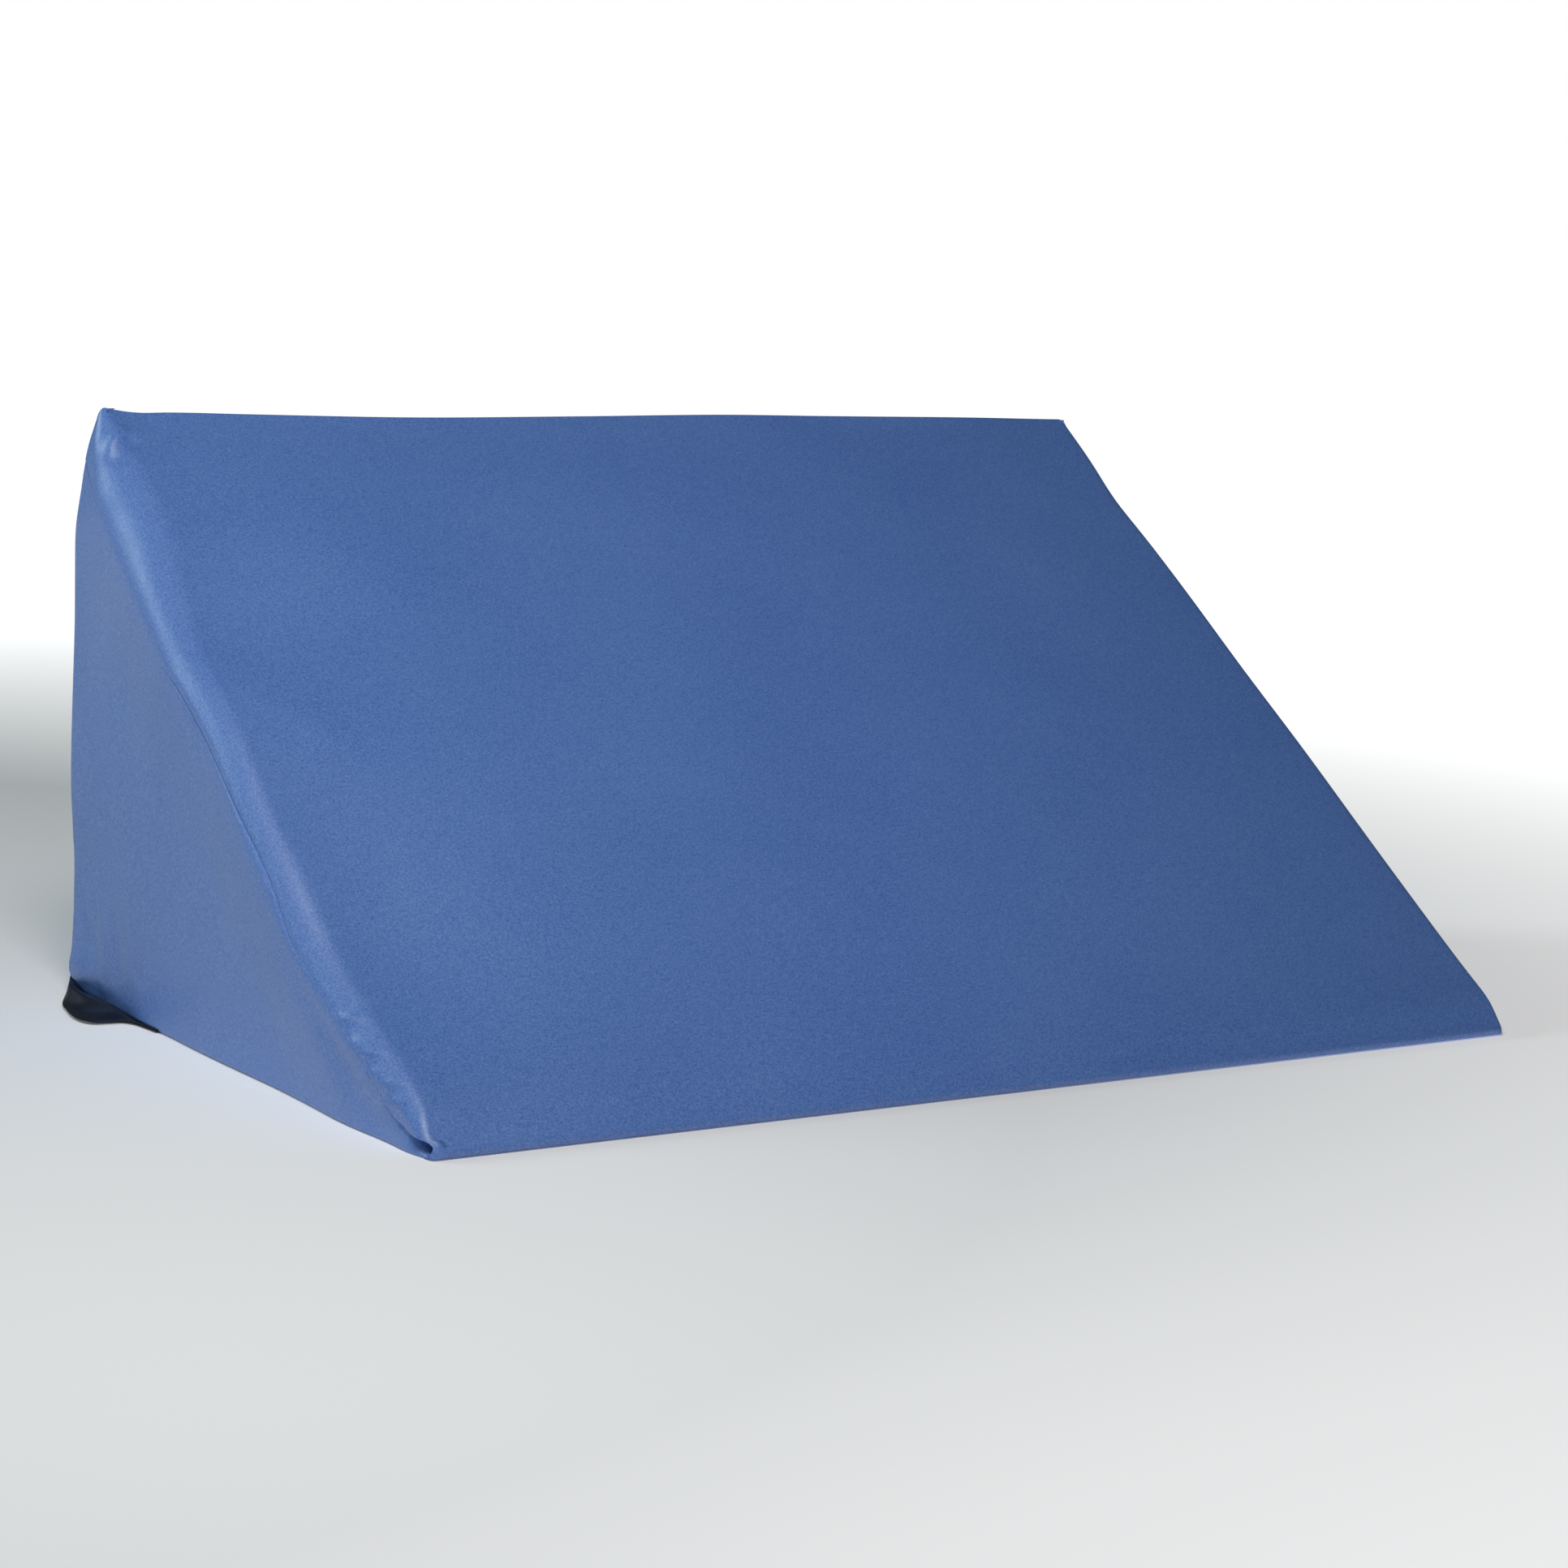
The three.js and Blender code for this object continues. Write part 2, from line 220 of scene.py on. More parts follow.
def grid_faces(rows, columns):
    """Quads of a grid."""
    i, j = np.meshgrid(np.arange(rows - 1), np.arange(columns - 1), indexing="ij")
    a = i * columns + j
    return np.stack([a, a + 1, a + columns + 1, a + columns], axis=-1).reshape(-1, 4)


def mesh_piece(name, points, faces, material, smooth_shading=True):
    """A mesh object, in metres."""
    mesh = bpy.data.meshes.new(name)
    corners = np.asarray(points, float).reshape(-1, 3).tolist()
    mesh.from_pydata(corners, [], [list(map(int, f)) for f in faces])
    mesh.polygons.foreach_set("use_smooth", [smooth_shading] * len(mesh.polygons))
    mesh.materials.append(material)
    obj = bpy.data.objects.new(name, mesh)
    bpy.context.scene.collection.objects.link(obj)
    return obj


def weld(obj, distance=0.02 * MM):
    """Joins points that lie on each other and turns every face outwards from the mat's middle."""
    work = bmesh.new()
    work.from_mesh(obj.data)
    bmesh.ops.remove_doubles(work, verts=work.verts, dist=distance)
    bmesh.ops.recalc_face_normals(work, faces=work.faces)
    for edge in work.edges:
        edge.smooth = not edge.is_manifold or edge.calc_face_angle() < FOLD_ANGLE
    outwards = sum(f.normal.dot(f.calc_center_median() - Vector(CENTRE)) * f.calc_area() for f in work.faces)
    if outwards < 0:
        bmesh.ops.reverse_faces(work, faces=work.faces)
    work.to_mesh(obj.data)
    work.free()
    return obj


def panel(name, grids, material, node):
    """A piece of cloth from its grids of points: joined, thickened, riding on the mat, for its CAD node."""
    points = np.concatenate([g.reshape(-1, 3) for g in grids])
    faces, start = [], 0
    for g in grids:
        faces.append(grid_faces(*g.shape[:2]) + start)
        start += g.shape[0] * g.shape[1]
    obj = weld(mesh_piece(name, points, np.concatenate(faces), material))
    thickness = obj.modifiers.new("thickness", "SOLIDIFY")
    thickness.thickness = CLOTH
    thickness.offset = -1
    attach(obj, "mat")
    if node:
        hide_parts(node)
    return obj


def allowance(border, inward):
    """The seam allowance along a border: a strip of two more rows, turned into the mat."""
    inward = np.broadcast_to(np.asarray(inward, float), border.shape)
    return np.stack([border, border + 0.3 * TURN_IN * inward, border + TURN_IN * inward])


# ---------------------------------------------------------------- the sides


class LeftEdge:
    """The cover along the slope's left edge. u runs down the slope from the top edge, in metres.

    The lists are (place down the slope, value) in millimetres. They were measured in the photo.
    """

    side = -1
    toe_radius = 8 * MM  # of the corner at the toe, seen from above

    def seam(self, u):
        """Depth of the side's seam, square to the slope."""
        return through(
            u, (15, 21), (100, 22), (160, 23), (185, 19), (240, 16), (314, 16), (352, 20), (394, 15),
            (440, 14), (455, 15), (468, 11), (480, 6), (487, 3.5)
        )

    def sag(self, u):
        """How far the slope's own edge has sunk under its line."""
        return through(
            u, (60, 0), (86, 0.4), (125, 3), (170, 4.8), (196, 3), (224, 2), (283, 5.5), (319, 7), (361, 9),
            (405, 6), (432, 2.5), (460, 0)
        )

    def width(self, u):
        """How far in from the side the slope starts to roll over."""
        return through(
            u, (0, 3), (15, 8), (30, 14), (44, 19), (60, 23), (86, 24), (125, 20), (170, 16), (210, 14),
            (361, 16), (405, 15), (432, 12), (462, 8), (480, 5)
        )

    def depth(self, u):
        """How far down the side the roll ends, square to the slope."""
        return self.width(u)

    def lip(self, u):
        """How far the roll stands out over the side."""
        return through(
            u, (44, 0), (86, 0.8), (125, 2.4), (170, 3.8), (196, 3.5), (224, 3.2), (283, 5.7), (319, 6),
            (361, 6.3), (405, 4.9), (432, 2.3), (465, 0)
        )

    def corner(self, u, d):
        """How far the top corner is drawn in towards its point."""
        from_point = u + 0.5 * d
        return through(
            from_point, (0, 13.5), (5, 12.4), (10, 10.7), (20, 7.4), (30, 5.2), (40, 3.6), (60, 0.4), (76, 0)
        )

    def seam_shows(self, u):
        return smooth(u, 160 * MM, 185 * MM) * (1 - 0.85 * smooth(u, 330 * MM, 375 * MM))

    def tuck(self, u):
        """How far the side's cloth is pulled in at the tuck in the toe's corner."""
        return 10 * MM * bell(u, 481 * MM, 6 * MM) + 2 * MM * bell(u, 466 * MM, 9 * MM)

    def bow(self, y, z, u):
        """How far the side stands out from its plane."""
        edge = through(
            z, (0, 0.3), (7, 1.6), (12, 2.4), (25, 0.6), (59, -1.3), (110, 0.7), (174, 0.9), (227, 0.9)
        )
        middle = 1.2 * MM * smooth(u, 60 * MM, 120 * MM) * (1 - smooth(u, 420 * MM, 465 * MM))
        low = smooth(z, 5 * MM, 60 * MM)
        return LEFT_SWELL + edge * (1 - smooth(BACK - y, 0, 90 * MM)) + middle * low


class RightEdge:
    """The cover along the slope's right edge."""

    side = 1
    toe_radius = 4 * MM

    def seam(self, u):
        return through(u, (15, 21), (230, 21), (400, 18), (448, 17), (466, 11), (480, 5.5), (487, 4))

    def sag(self, u):
        return 0 * u

    def width(self, u):
        return through(u, (0, 7), (40, 8), (80, 10), (120, 8), (230, 8), (440, 7), (480, 4))

    def depth(self, u):
        return through(u, (0, 10), (40, 10), (80, 12), (120, 9), (230, 9), (440, 7), (480, 4))

    def lip(self, u):
        return 0 * u

    def corner(self, u, d):
        return 0 * u

    def seam_shows(self, u):
        return 1.0 + 0 * u

    def tuck(self, u):
        return 2 * MM * bell(u, 480 * MM, 9 * MM)

    def bow(self, y, z, u):
        edge = through(z, (0, 0.5), (40, 1.5), (110, -0.5), (200, 1.2), (250, 0))
        return 0.6 * MM + edge * (1 - smooth(BACK - y, 0, 90 * MM))


LEFT, RIGHT = LeftEdge(), RightEdge()


def puckers(u, d):
    """Small slanting puckers across the roll near the toe, about 1 high."""
    total = 0 * u
    for place, deep, width in (
        (404, 9, 2.0), (416, 12, 2.6), (424, 9, 1.8), (433, 13, 2.4), (443, 8, 2.0), (451, 11, 2.2)
    ):
        slanted = u - place * MM + 0.8 * (d - deep * MM)
        total = total + bell(slanted, 0, width * MM) * bell(d, deep * MM, 6 * MM)
    return total


def side_form(edge, y, z):
    """How far inside the side's plane the cover lies, apart from where it turns to the back and base."""
    u, d = slope_place(y, z)
    share = np.clip(1 - (d - edge.sag(u)) / edge.depth(u), 0, 1)
    inset = edge.width(u) * (1 - np.sqrt(1 - share**2)) + edge.corner(u, d)
    inset = inset - edge.lip(u) * (1 - smooth(d, 18 * MM, 80 * MM))
    from_seam = d - edge.seam(u)
    groove = 1.3 * MM * np.exp(-np.abs(from_seam) / (0.8 * MM))
    puff = 0.45 * MM * bell(from_seam, -4 * MM, 3 * MM)
    inset = inset + edge.seam_shows(u) * (groove - puff)
    inset = inset - edge.bow(y, z, u) + rim(np.maximum(y - TOE, 0), edge.toe_radius)
    inset = inset + edge.tuck(u) * np.exp(-np.maximum(from_seam, 0) / (2.5 * MM)) * (from_seam > -0.1 * MM)
    if edge is LEFT:
        inset = inset - 1.4 * MM * puckers(u, d)
        hollow = bell(u, 400 * MM, 45 * MM) * bell(d, 28 * MM, 9 * MM)
        inset = inset + 2.2 * MM * hollow
    low_corner = bell(y, BACK - 45 * MM, 45 * MM) * bell(z, 25 * MM, 30 * MM)
    inset = inset + 0.45 * MM * low_corner * ripple(y, z, 3, 26 * MM)
    return inset + 0.25 * MM * smooth(d, 20 * MM, 60 * MM) * ripple(y, z, 5 + edge.side, 90 * MM)


def side_inset(edge, y, z):
    """How far inside the side's plane the cover lies there: its roll, its seam, its edges and folds."""
    _, d = slope_place(y, z)
    turned = rim(BACK - y) * smooth(d, 0, 8 * MM)
    return side_form(edge, y, z) + turned + rim(z, LOW_EDGE)


def side_grid(edge, y, z):
    """Points on the side's surface."""
    return np.stack([edge.side * (HALF - side_inset(edge, y, z)), y, z], axis=-1)


def base_seam_height(edge, y):
    """Height of the side's seam to the base: in the middle of the edge, but raised at the left back."""
    height = LOW_SEAM + 0 * y
    if edge is LEFT:
        height = through(
            BACK - y, (0, 9.5), (3, 8.5), (8, 6), (18, 3.2), (33, 2), (53, 1.5), (77, 1), (98, 0.12)
        )
    return height


def side_seam(edge, count):
    """(y, z) along the side's upper seam, from the back edge to the toe's tip."""
    u = np.linspace(SEAM_START, SEAM_END, count)
    y, z = side_point(u, edge.seam(u))
    return np.minimum(y, BACK - RIM), np.maximum(z, LOW_SEAM + 0.3 * MM)


def pulled_in(face, inward, sides):
    """The face with those of its borders drawn in a little, as sewing draws them."""
    face = face.copy()
    inward = np.asarray(inward, float)
    for k, amount in enumerate(DRAWN_IN):
        for name, rows in (("first", np.s_[k]), ("low", np.s_[:, k]), ("high", np.s_[:, -1 - k])):
            if name in sides:
                face[rows] += amount * inward
    return face


def side_panel(edge, name, node, material):
    """One side: rows run from the back to the toe, columns from the base up to the seam."""
    y_top, z_top = side_seam(edge, 240)
    t = np.linspace(0, 1, 240)
    y_low = (BACK - RIM) * (1 - t) + y_top[-1] * t
    z_low = base_seam_height(edge, y_low)
    z_top = np.maximum(z_top, z_low + 0.3 * MM)
    ramp = np.linspace(0, 1, 110)
    j = (ramp - 0.6 * np.sin(2 * math.pi * ramp) / (2 * math.pi))[None, :]
    y = y_low[:, None] * (1 - j) + y_top[:, None] * j
    z = z_low[:, None] * (1 - j) + z_top[:, None] * j
    inward = [-edge.side, 0, 0]
    face = pulled_in(side_grid(edge, y, z), inward, ("low",))
    for k, amount in enumerate(DRAWN_IN):
        fading = 1 - smooth(z[k], z[0, -1] - 40 * MM, z[0, -1] - 8 * MM)
        face[k, :, 0] -= edge.side * amount * fading
    borders = [face[0], face[-1], face[:, 0], face[:, -1]]
    grids = [face] + [allowance(border, inward) for border in borders]
    return panel(name, grids, material, node)


# ---------------------------------------------------------------- the slope panel


def slope_rows():
    """Places in OUTLINE of the rows down the slope panel: closer together where it bends."""
    index = np.arange(len(OUTLINE))
    run = OUTLINE_STEP * index
    middle = smooth(run, run[CREST] + 6 * MM, run[CREST] + 30 * MM)
    middle = middle * (1 - smooth(run, run[TIP] - 45 * MM, run[TIP] - 20 * MM))
    spacing = 0.7 * MM + 1.7 * MM * middle
    places = [0.0]
    while places[-1] < run[-1]:
        places.append(places[-1] + float(np.interp(places[-1], run, spacing)))
    rows = np.unique(np.round(np.array(places[:-1]) / OUTLINE_STEP).astype(int))
    rows[np.argmin(np.abs(rows - CREST))] = CREST
    return rows


def off_line(x, u, start, end):
    """How far off a line each point is. Its ends are in millimetres, in from the left and down the slope."""
    start, end = np.array(start) * MM, np.array(end) * MM
    step = end - start
    across, down = x + HALF - start[0], u - start[1]
    t = (across * step[0] + down * step[1]) / (step @ step)
    return np.hypot(across - np.clip(t, 0, 1) * step[0], down - np.clip(t, 0, 1) * step[1])


def slope_relief(x, u):
    """How far the slope stands out of its line: dents, a low crown, a sag and a swell at its right edge."""
    across = x / HALF
    right = smooth(across, -0.2, 1)
    height = -0.8 * MM * bell(u, 150 * MM, 130 * MM)
    height = height + 0.5 * MM * (1 - across**2) * smooth(u, 0, 60 * MM)
    height = height - 1.2 * MM * bell(u, 66 * MM, 22 * MM) * smooth(across, 0.8, 1)
    height = height + 2.0 * MM * bell(u, 330 * MM, 130 * MM) * right
    height = height + 0.35 * MM * ripple(x, u, 11, 240 * MM)
    for start, end, amount, width in (
        ((2, 31), (15, 19), 1.5, 3.0),
        ((8, 37), (18, 26), -1.6, 4.5),
        ((6, 21), (9, 18), -0.7, 4.0),
        ((40, 330), (90, 300), -0.5, 16.0),
        ((20, 205), (45, 235), 0.5, 10.0),
    ):
        height = height + amount * MM * bell(off_line(x, u, start, end), 0, width * MM)
    fade = smooth(u, 0, 12 * MM) * (1 - smooth(u, SLOPE_LENGTH, SLOPE_LENGTH + 12 * MM))
    return height * fade


def sagged(x, u):
    """How far the slope has sunk towards its left edge."""
    from_side = x + HALF - LEFT.width(u) + LEFT_SWELL
    return LEFT.sag(u) * (1 - smooth(from_side, 0, 130 * MM)) ** 1.6


def top_edge_lift(x):
    """How far the top edge stands above its line across the mat, as measured in the photo."""
    return through(
        x + HALF, (10, 1.7), (15, 0.9), (22, -0.2), (29, -0.8), (45, -0.6), (89, -1.1), (182, -2),
        (280, -0.7), (383, 1), (437, 0.8), (550, 0.7), (609, 0.2)
    )


def lifted(points, x, u, share):
    """The points, moved square to the slope by its relief, and up or down with the top edge."""
    height = slope_relief(x, u) * share
    top = top_edge_lift(x) * (1 - smooth(np.abs(u), 0, 55 * MM))
    moved = points.copy()
    moved[..., 1] += height * OUT[0]
    moved[..., 2] += height * OUT[1] + top
    return moved


def sunk_by(points, depth):
    """The points, moved that far into the mat, square to the slope."""
    moved = points.copy()
    moved[..., 1] -= depth * OUT[0]
    moved[..., 2] -= depth * OUT[1]
    return moved


def lap_end(edge, rows):
    """(y, z) where each row of a side lap ends: on the side's seam, then under the toe's edge."""
    y, z = OUTLINE[rows].T
    u, _ = slope_place(y, z)
    target = u + SEAM_START * (1 - smooth(u, 0, 50 * MM))
    target = np.minimum(target, SEAM_END)
    gap = 0.45 * edge.tuck(target)
    seam_y, seam_z = side_point(target, edge.seam(target) - gap)
    low_y, low_z = np.maximum(y, TOE + 5 * MM), LOW_SEAM + 0 * z
    toe = smooth(u, 484 * MM, 491 * MM)
    toe[rows > TIP] = 1
    end_y = seam_y * (1 - toe) + low_y * toe
    end_z = seam_z * (1 - toe) + low_z * toe
    return np.minimum(end_y, BACK - RIM), np.maximum(end_z, LOW_SEAM)


def side_lap(edge, rows, columns=34):
    """The slope panel's lap over one side, from the slope to the seam."""
    y0, z0 = OUTLINE[rows].T
    u0, _ = slope_place(y0, z0)
    u0[rows > TIP] = BEYOND
    y0, z0 = y0 - edge.sag(u0) * OUT[0], z0 - edge.sag(u0) * OUT[1]
    y1, z1 = lap_end(edge, rows)
    t = np.linspace(0, 1, columns)[None, :] ** 1.7
    y = y0[:, None] * (1 - t) + y1[:, None] * t
    z = z0[:, None] * (1 - t) + z1[:, None] * t
    points = side_grid(edge, y, z)
    u, d = slope_place(y, z)
    return lifted(points, points[..., 0], u, 1 - smooth(d - edge.sag(u), 0, 12 * MM))


def back_lap_corner(edge, rows, start_x, columns=10):
    """The lap down the back, between the flat of the panel and the upright edge at the side."""
    _, z = OUTLINE[rows].T
    form = side_form(edge, BACK - EDGE + 0 * z, np.minimum(z, TOP - 1 * MM))
    lift = TOP - z
    end_x = edge.side * (HALF - form - RIM)
    t = np.linspace(0, 1, columns)[None, :]
    x = start_x[:, None] * (1 - t) + end_x[:, None] * t
    away = np.abs(x - edge.side * (HALF - form)[:, None])
    y = OUTLINE[rows, 0][:, None] - rim(away) * smooth(lift, 0, 10 * MM)[:, None]
    points = np.stack([x, y, np.broadcast_to(z[:, None], x.shape)], axis=-1)
    return lifted(points, x, BACK_LAP_RATE * lift[:, None] + 0 * x, 0)


def flat_columns():
    """Shares across the flat of the slope, closer together near both ends."""
    t = np.linspace(0, 1, 215)
    return t - 0.35 * np.sin(2 * math.pi * t) / (2 * math.pi)


def slope_panel(material):
    """The slope with its laps down the back, over both sides and under the toe."""
    rows = slope_rows()
    y, z = OUTLINE[rows].T
    reach = {}
    for edge in (LEFT, RIGHT):
        down, _ = slope_place(y, z)
        down[rows > TIP] = BEYOND
        inset = side_inset(edge, y - edge.sag(down) * OUT[0], z - edge.sag(down) * OUT[1])
        crest = int(np.argmin(np.abs(rows - CREST)))
        inset[:crest] = inset[crest] + 4 * MM * smooth(z[crest] - z[:crest], 0, 20 * MM)
        reach[edge] = edge.side * (HALF - inset)
    share = flat_columns()[None, :]
    x = reach[LEFT][:, None] * (1 - share) + reach[RIGHT][:, None] * share
    across = [np.broadcast_to(v[:, None], x.shape) for v in (y, z)]
    points = np.stack([x, *across], axis=-1)
    u, _ = slope_place(y, z)
    u[rows > TIP] = BEYOND
    u[rows < CREST] = -BACK_LAP_RATE * (TOP - z[rows < CREST])
    u = u[:, None] + 0 * x
    points = sunk_by(lifted(points, x, u, 1), sagged(x, u))
    down_side = rows[rows >= CREST]
    down_back = rows[rows <= CREST]
    grids = [points, allowance(points[0], [0, -1, 0]), allowance(points[-1], [0, 0, 1])]
    for edge in (LEFT, RIGHT):
        lap = side_lap(edge, down_side)
        corner = back_lap_corner(edge, down_back, reach[edge][rows <= CREST])
        inward = [-edge.side, 0, 0]
        grids += [lap, corner, allowance(lap[:, -1], inward), allowance(lap[0], inward)]
        grids += [allowance(corner[:, -1], [0, -1, 0]), allowance(corner[0], [0, -1, 0])]
        grids += [allowance(lap[-1], [0, 0, 1])]
    return panel("cover_slope", grids, material, "cover_slope_panel")


# ---------------------------------------------------------------- the back and the base


def back_strip(material, name, node, path):
    """A back panel: its path in depth and height is drawn across the mat between the upright edges."""
    depth, z = np.array(path).T
    run = np.concatenate([[0], np.cumsum(np.hypot(np.diff(depth), np.diff(z)))])
    even = np.linspace(0, run[-1], int(run[-1] / (1.5 * MM)))
    depth, z = np.interp(even, run, depth), np.interp(even, run, z)
    share = flat_columns()[None, :]
    ends = [edge.side * (HALF - side_form(edge, BACK - EDGE + 0 * z, z) - RIM) for edge in (LEFT, RIGHT)]
    x = ends[0][:, None] * (1 - share) + ends[1][:, None] * share
    away = np.minimum(x - ends[0][:, None], ends[1][:, None] - x) + RIM
    slack = 0.5 * MM * ripple(x, z[:, None] + 0 * x, 21, 150 * MM) * smooth(away, 0, 60 * MM)
    slack = slack * (smooth(np.abs(z - ZIP_Z), 10 * MM, 50 * MM) * smooth(z, 4 * MM, 40 * MM))[:, None]
    y = BACK - depth[:, None] - rim(away) - slack - rim(z, LOW_EDGE)[:, None]
    mouth = MOUTH_HIGH if z[-1] > ZIP_Z else MOUTH_LOW
    near = (1 - smooth(np.abs(z - mouth), 0, 30 * MM)) * (depth < 2 * MM)
    closing = smooth(np.abs(x), ZIP_END, ZIP_END + 4 * MM) * near[:, None]
    face = np.stack([x, y, z[:, None] + (ZIP_Z - mouth) * 0.97 * closing], axis=-1)
    face = pulled_in(face, [0, -1, 0], ("first", "low", "high"))
    grids = [face] + [allowance(border, [0, -1, 0]) for border in (face[0], face[:, 0], face[:, -1])]
    return panel(name, grids, material, node)


def back_panels(material):
    """The two back panels, each with its edge turned in along the zip's mouth."""
    top = TOP - BACK_LAP - 0.3 * MM
    fold, inside, hem, bend = 1.2 * MM, 4.4 * MM, 11 * MM, 0.6 * MM
    for way, name, node, start, mouth in (
        (1, "cover_back_above_zip", "cover_back_upper", top, MOUTH_HIGH),
        (-1, "cover_back_below_zip", "cover_back_lower", LOW_SEAM, MOUTH_LOW),
    ):
        arc = [
            (fold * (1 - math.cos(a)), mouth + way * fold * (1 - math.sin(a)))
            for a in np.linspace(0, math.pi / 2, 7)
        ]
        turned = [(inside, mouth), (inside + bend, mouth + way * bend), (inside + bend, mouth + way * hem)]
        path = [(0, start), (0, mouth + way * 8 * MM)] + arc + turned
        back_strip(material, name, node, path)


def zip_guard(material):
    """A strip of cloth behind the zip, in the foam's groove."""
    half_length, half_width, depth = HALF - 9 * MM, 15 * MM, 9.6 * MM
    z = ZIP_Z + np.linspace(-half_width, half_width, 12)[:, None]
    x = np.linspace(-half_length, half_length, 120)[None, :]
    points = np.stack([x + 0 * z, BACK - depth + 0 * x * z, z + 0 * x], axis=-1)
    panel("zip_guard", [points], material, None)


# The base cloth's flap at the left back corner, in millimetres: how far forward of the back a fold of it
# leaves the side's seam, and how far forward and how far out from the side its edge lies on the floor.
# They were measured in the photo.
FLAP = (
    (0, -1, 0.6), (6, 12, 7.5), (13, 33, 17.5), (20, 48, 21.5), (28, 62, 24.2), (38, 73, 24.2),
    (50, 80, 20.6), (60, 82, 12.5), (70, 83, 7), (82, 89, 3.2), (95, 99, 1.5), (108, 110, 0.4)
)


def base_flap():
    """Spare base cloth, drawn out from under the left back corner and lying in a low fold on the floor."""
    run = 12  # stands for the way along the flap, from its back end to its front end
    k = run * MM * np.linspace(0, 1, 90)
    columns = [through(k, *zip(np.linspace(0, run, len(FLAP)), values)) for values in zip(*FLAP)]
    root_forward, edge_forward, edge_out = (c[:, None] for c in columns)
    root_y = np.minimum(BACK - root_forward, BACK - RIM)
    root_z = base_seam_height(LEFT, root_y) + 0.2 * MM
    root_x = -(HALF - side_inset(LEFT, root_y, root_z)) + 0.6 * MM
    edge_y, edge_x = BACK - edge_forward, -(HALF + LEFT_SWELL + edge_out)
    t = np.linspace(0, 1, 26)[None, :]
    reach = smooth(edge_out, 0, 16 * MM)
    hump = 6.5 * MM * reach * np.sin(math.pi * t) ** 1.2 * (1 - 0.55 * t)
    crease = 1.1 * MM * reach * np.sin(3.5 * math.pi * t + 9 * k[:, None] / (run * MM))
    over = [root_x * (1 - t) + edge_x * t, root_y * (1 - t) + edge_y * t]
    edge_z = 1.4 * MM
    over.append(root_z * (1 - t) + edge_z * t + hump + crease * np.sin(math.pi * t))
    back = t[:, 1:]
    under = [
        edge_x * (1 - back) + (root_x + 14 * MM) * back,
        edge_y * (1 - back) + (root_y - 3 * MM) * back,
        edge_z * np.clip(1 - 12 * back, 0, 1) + 0.1 * MM + 0 * edge_x,
    ]
    return np.stack([np.concatenate(pair, axis=1) for pair in zip(over, under)], axis=-1)


def base_panel(material):
    """The base: flat on the floor, turning up to the seams, with its flap at the left back corner."""
    inside = LOW_SEAM_IN + DRAWN_IN[0]
    front, rear = TOE + TOE_LAP, BACK - inside
    y = np.linspace(front, rear, 120)[:, None] + np.zeros((1, 160))
    share = np.interp(np.linspace(0, 1, 160), np.linspace(0, 1, 215), flat_columns())[None, :]
    column = y[:, :1]
    low = LOW_SEAM + 0 * column
    ends = [edge.side * (HALF - side_form(edge, column, low) - inside) for edge in (LEFT, RIGHT)]
    x = ends[0] * (1 - share) + ends[1] * share
    away = np.minimum(np.minimum(x - ends[0], ends[1] - x), rear - y) + LOW_SEAM_IN
    z = rim(away, LOW_EDGE)
    face = np.stack([x, y, z], axis=-1)
    grids = [face] + [allowance(b, [0, 0, 1]) for b in (face[0], face[-1], face[:, 0], face[:, -1])]
    grids.append(base_flap())
    return panel("cover_base", grids, material, "cover_base_panel")


# ---------------------------------------------------------------- materials


class Nodes:
    """A new material's node tree, with short ways to add and join nodes."""

    def __init__(self, name):
        self.material = bpy.data.materials.new(name)
        self.material.use_nodes = True
        self.tree = self.material.node_tree
        self.shader = self.tree.nodes["Principled BSDF"]

    def add(self, kind, inputs=None, **settings):
        node = self.tree.nodes.new("ShaderNode" + kind)
        for key, value in settings.items():
            setattr(node, key, value)
        for key, value in (inputs or {}).items():
            if isinstance(value, bpy.types.NodeSocket):
                self.tree.links.new(value, node.inputs[key])
            else:
                node.inputs[key].default_value = value
        return node

    def places(self, scale=(1, 1, 1)):
        """The surface's own coordinates, in metres, scaled."""
        coordinates = self.add("TexCoord").outputs["Object"]
        mapping = self.add("Mapping", {"Vector": coordinates, "Scale": scale})
        return mapping.outputs["Vector"]

    def noise(self, scale, detail, vector=None):
        inputs = {"Scale": scale, "Detail": detail, "Roughness": 0.5}
        inputs["Vector"] = self.places() if vector is None else vector
        return self.add("TexNoise", inputs).outputs["Fac"]

    def maths(self, operation, a, b):
        return self.add("Math", {0: a, 1: b}, operation=operation).outputs[0]

    def ramp(self, fac, *stops):
        """Colours or greys at places from 0 to 1."""
        node = self.add("ValToRGB", {"Fac": fac})
        elements = node.color_ramp.elements
        while len(elements) < len(stops):
            elements.new(0.5)
        for element, (place, value) in zip(elements, stops):
            element.position = place
            element.color = (*value, 1) if hasattr(value, "__len__") else (value, value, value, 1)
        return node.outputs["Color"]

    def bump(self, height, distance, strength=1.0, normal=None):
        inputs = {"Height": height, "Distance": distance, "Strength": strength}
        if normal is not None:
            inputs["Normal"] = normal
        return self.add("Bump", inputs).outputs["Normal"]

    def shade(self, **inputs):
        """Joins or sets the shader's own sockets."""
        for key, value in inputs.items():
            socket = self.shader.inputs[key.replace("_", " ")]
            if isinstance(value, bpy.types.NodeSocket):
                self.tree.links.new(value, socket)
            else:
                socket.default_value = value
        return self.material


def linear(*rgb):
    """A colour given as it looks on a screen, from 0 to 255, as linear light."""
    return tuple((c / 255 / 12.92) if c < 11 else ((c / 255 + 0.055) / 1.055) ** 2.4 for c in rgb)


